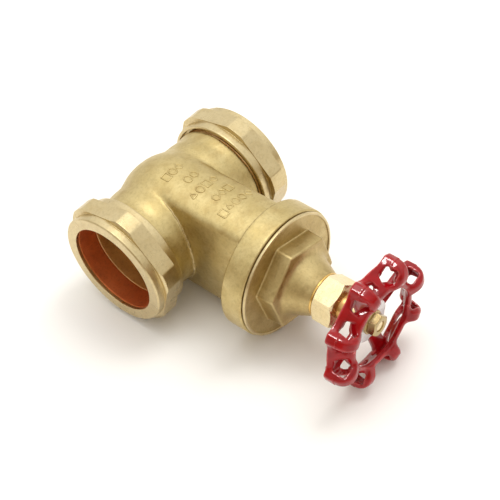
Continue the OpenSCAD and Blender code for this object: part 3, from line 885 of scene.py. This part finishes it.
def make_handwheel():
    """The hollow scalloped rim, its four spokes and the hub, in one cast piece."""
    reach = WHEEL_R + WHEEL_MARGIN
    low, high = (-reach, -WHEEL_FRONT - WHEEL_MARGIN, -reach), (reach, -HUB_BACK + WHEEL_MARGIN, reach)
    points, faces = net(wheel_field, low, high, WHEEL_CELL)
    points = settle(points, lambda p: wheel_field(p) + 0.06 * lumps(p, 5.0, 9) + WHEEL_SKIN)
    piece("handwheel_cast", "spindle", points, faces, RED_ENAMEL, "handwheel", 70)


WAVE_H, RIB_H, RIB_R, RIB_W = 0.26, 0.05, 10.0, 1.4
WHEEL_NUT_R, WHEEL_NUT_CORNER_AT = 6.5, 12.0


def make_wheel_fasteners():
    """The thin wavy disc, its washer and the nut that holds the wheel."""

    def ripple(radius, height, angle):
        outside = np.clip((radius - WASHER_R) / (DISC_R - WASHER_R), 0, 1)
        wave = 0.5 * np.sin(5 * angle + 0.8) + 0.35 * np.sin(9 * angle) + 0.25 * np.sin(14 * angle + 2)
        ribs = RIB_H * np.sin(24 * angle) * np.exp(-(((radius - RIB_R) / RIB_W) ** 2))
        return radius, height + WAVE_H * outside**1.5 * wave + ribs

    hole_r = STUD_R + 0.3
    plate = [
        (hole_r, DISC_BACK), (DISC_R, DISC_BACK, 0.2), (DISC_R, DISC_FRONT, 0.2), (hole_r, DISC_FRONT),
    ]
    points, faces = turned(spaced(rounded(plate, 0.15), 0.4), 288, ripple)
    piece("identification_disc_wavy", "spindle", on_stem(points), faces, ALUMINIUM,
          "identification_disc", 50)
    hole_r = STUD_R + 0.2
    ring = [
        (hole_r, DISC_FRONT), (WASHER_R, DISC_FRONT, 0.4),
        (WASHER_R, WASHER_FRONT, 0.4), (hole_r, WASHER_FRONT),
    ]
    points, faces = turned(rounded(ring, 0.2), 144)
    piece("wheel_washer_turned", "spindle", on_stem(points), faces, NUT_BRASS, "wheel_washer",
          30)
    points, faces = hex_nut(
        STUD_R, WHEEL_NUT_R, WASHER_FRONT, NUT_FRONT, WHEEL_NUT_CORNER_AT, 0.6, 1.25, 240
    )
    piece("wheel_nut_shaped", "spindle", on_stem(points), faces, WHEEL_NUT_BRASS, "wheel_nut",
          25)


# ---------------------------------------------------------------- pieces kept from the frame

KEPT = {
    "bonnet_gasket": FIBRE, "wedge_gate": CAST_BRASS, "stem_retaining_nut": BRIGHT_BRASS,
    "thrust_washer": STEEL, "packing_washer": STEEL, "packing_ring_lower": PACKING,
    "packing_ring_middle": PACKING, "packing_ring_upper": PACKING,
}


def paint_kept_nodes():
    for name, material in KEPT.items():
        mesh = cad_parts[name].data
        mesh.materials.clear()
        mesh.materials.append(material)
        mesh.shade_smooth()
        mesh.set_sharp_from_angle(angle=math.radians(30))


# ---------------------------------------------------------------- camera and studio

CAMERA_AIM = (13.2, -39.9, -17.8)
CAMERA_AZIMUTH, CAMERA_ELEVATION, CAMERA_ROLL = -44.47, 47.19, -7.39
CAMERA_DISTANCE, CAMERA_LENS, SENSOR_W = 671.1, 85.6, 36


def make_camera():
    azimuth, elevation, roll = (math.radians(v) for v in (CAMERA_AZIMUTH, CAMERA_ELEVATION, CAMERA_ROLL))
    flat = math.cos(elevation)
    back = Vector((math.sin(azimuth) * flat, -math.cos(azimuth) * flat, math.sin(elevation)))
    level = Vector((math.cos(azimuth), math.sin(azimuth), 0))
    upright = back.cross(level)
    right = level * math.cos(roll) + upright * math.sin(roll)
    up = back.cross(right)
    data = bpy.data.cameras.new("camera")
    data.lens, data.sensor_width = CAMERA_LENS, SENSOR_W
    camera = bpy.data.objects.new("camera", data)
    bpy.context.scene.collection.objects.link(camera)
    place = (Vector(CAMERA_AIM) + back * CAMERA_DISTANCE) * MM
    camera.matrix_world = Matrix.Translation(place) @ Matrix((right, up, back)).transposed().to_4x4()
    bpy.context.scene.camera = camera


FLOOR_HALF = 6.0
LIGHT_AIM = (0, -0.05, 0)
BRIGHT_WAY, SKY_STRENGTH = (0.24, 0.20, 0.95), 1.13
# places on the ramp from away from BRIGHT_WAY to along it, with their colours
SKY_TONES = [
    (0.0, (0.38, 0.29, 0.18)), (0.18, (0.62, 0.56, 0.47)),
    (0.42, (0.86, 0.84, 0.80)), (0.95, (1.15, 1.14, 1.11)),
]


def softbox(name, toward, distance, size, watts):
    """A square area light in a direction from the valve, facing it."""
    data = bpy.data.lights.new(name, "AREA")
    data.shape, data.size, data.energy = "SQUARE", size, watts
    light = bpy.data.objects.new(name, data)
    bpy.context.scene.collection.objects.link(light)
    way = Vector(toward).normalized()
    light.location = Vector(LIGHT_AIM) + way * distance
    light.rotation_mode = "QUATERNION"
    light.rotation_quaternion = way.to_track_quat("Z", "Y")
    return light


def shine_only_on(light, thing):
    """Keeps a light to one object."""
    group = bpy.data.collections.new(light.name + "_lit")
    group.objects.link(thing)
    light.light_linking.receiver_collection = group


def make_floor():
    """A wide pale floor at the valve's lowest point."""
    floor_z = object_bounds()[0].z
    mesh = bpy.data.meshes.new("floor")
    corners = [(-1, -1), (1, -1), (1, 1), (-1, 1)]
    mesh.from_pydata([(x * FLOOR_HALF, y * FLOOR_HALF, floor_z) for x, y in corners], [], [(0, 1, 2, 3)])
    material, _, _, shader, _ = node_material("studio_floor")
    shader.inputs["Base Color"].default_value = (0.85, 0.835, 0.81, 1)
    shader.inputs["Roughness"].default_value = 0.9
    shader.inputs["Specular IOR Level"].default_value = 0.1
    mesh.materials.append(material)
    floor = bpy.data.objects.new("floor", mesh)
    bpy.context.scene.collection.objects.link(floor)
    floor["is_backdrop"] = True
    return floor


def make_sky():
    """Soft light all round, brightest overhead and darker and warmer towards the horizon."""
    world = bpy.data.worlds.new("studio")
    world.use_nodes = True
    nodes, links = world.node_tree.nodes, world.node_tree.links
    tilt = nodes.new("ShaderNodeVectorMath")
    tilt.operation = "DOT_PRODUCT"
    tilt.inputs[1].default_value = BRIGHT_WAY
    links.new(nodes.new("ShaderNodeTexCoord").outputs["Generated"], tilt.inputs[0])
    ramp = nodes.new("ShaderNodeValToRGB")
    tones = ramp.color_ramp.elements
    lowest, *middle, highest = SKY_TONES
    for tone, (position, colour) in zip(tones, (lowest, highest)):
        tone.position, tone.color = position, (*colour, 1)
    for position, colour in middle:
        tones.new(position).color = (*colour, 1)
    links.new(tilt.outputs["Value"], ramp.inputs["Fac"])
    background = next(n for n in nodes if n.type == "BACKGROUND")
    links.new(ramp.outputs["Color"], background.inputs["Color"])
    background.inputs["Strength"].default_value = SKY_STRENGTH
    bpy.context.scene.world = world


def make_lights(floor, wheel):
    """The overhead key, a second lamp that whitens the floor, and one for the gloss of the enamel."""
    softbox("key", (0.05, 0.12, 0.98), 1.1, 0.6, 2.4)
    shine_only_on(softbox("floor_light", (0.40, -0.10, 0.90), 1.3, 0.5, 5.5), floor)
    glints = softbox("glints", (-0.25, 0.15, 0.95), 1.1, 0.5, 30.0)
    glints.visible_diffuse = False
    shine_only_on(glints, wheel)


# ---------------------------------------------------------------- the whole valve

make_camera()
make_body()
make_body_end(-1, "body_end_left")
make_body_end(1, "body_end_right")
make_cast_marks()
make_parting_flash()
make_compression_nut(-1, "compression_nut_left_shaped", "left_nut", -box_mm("compression_nut_left")[1][0])
make_compression_nut(1, "compression_nut_right_shaped", "right_nut", box_mm("compression_nut_right")[0][0])
make_olive(-1, "olive_left_shaped", "left_olive", -box_mm("olive_left")[1][0])
make_olive(1, "olive_right_shaped", "right_olive", box_mm("olive_right")[0][0])
make_bonnet()
make_gland()
make_stem()
make_handwheel()
make_wheel_fasteners()
paint_kept_nodes()
make_sky()
make_lights(make_floor(), bpy.data.objects["handwheel_cast"])
bpy.context.scene.view_settings.view_transform = "Standard"
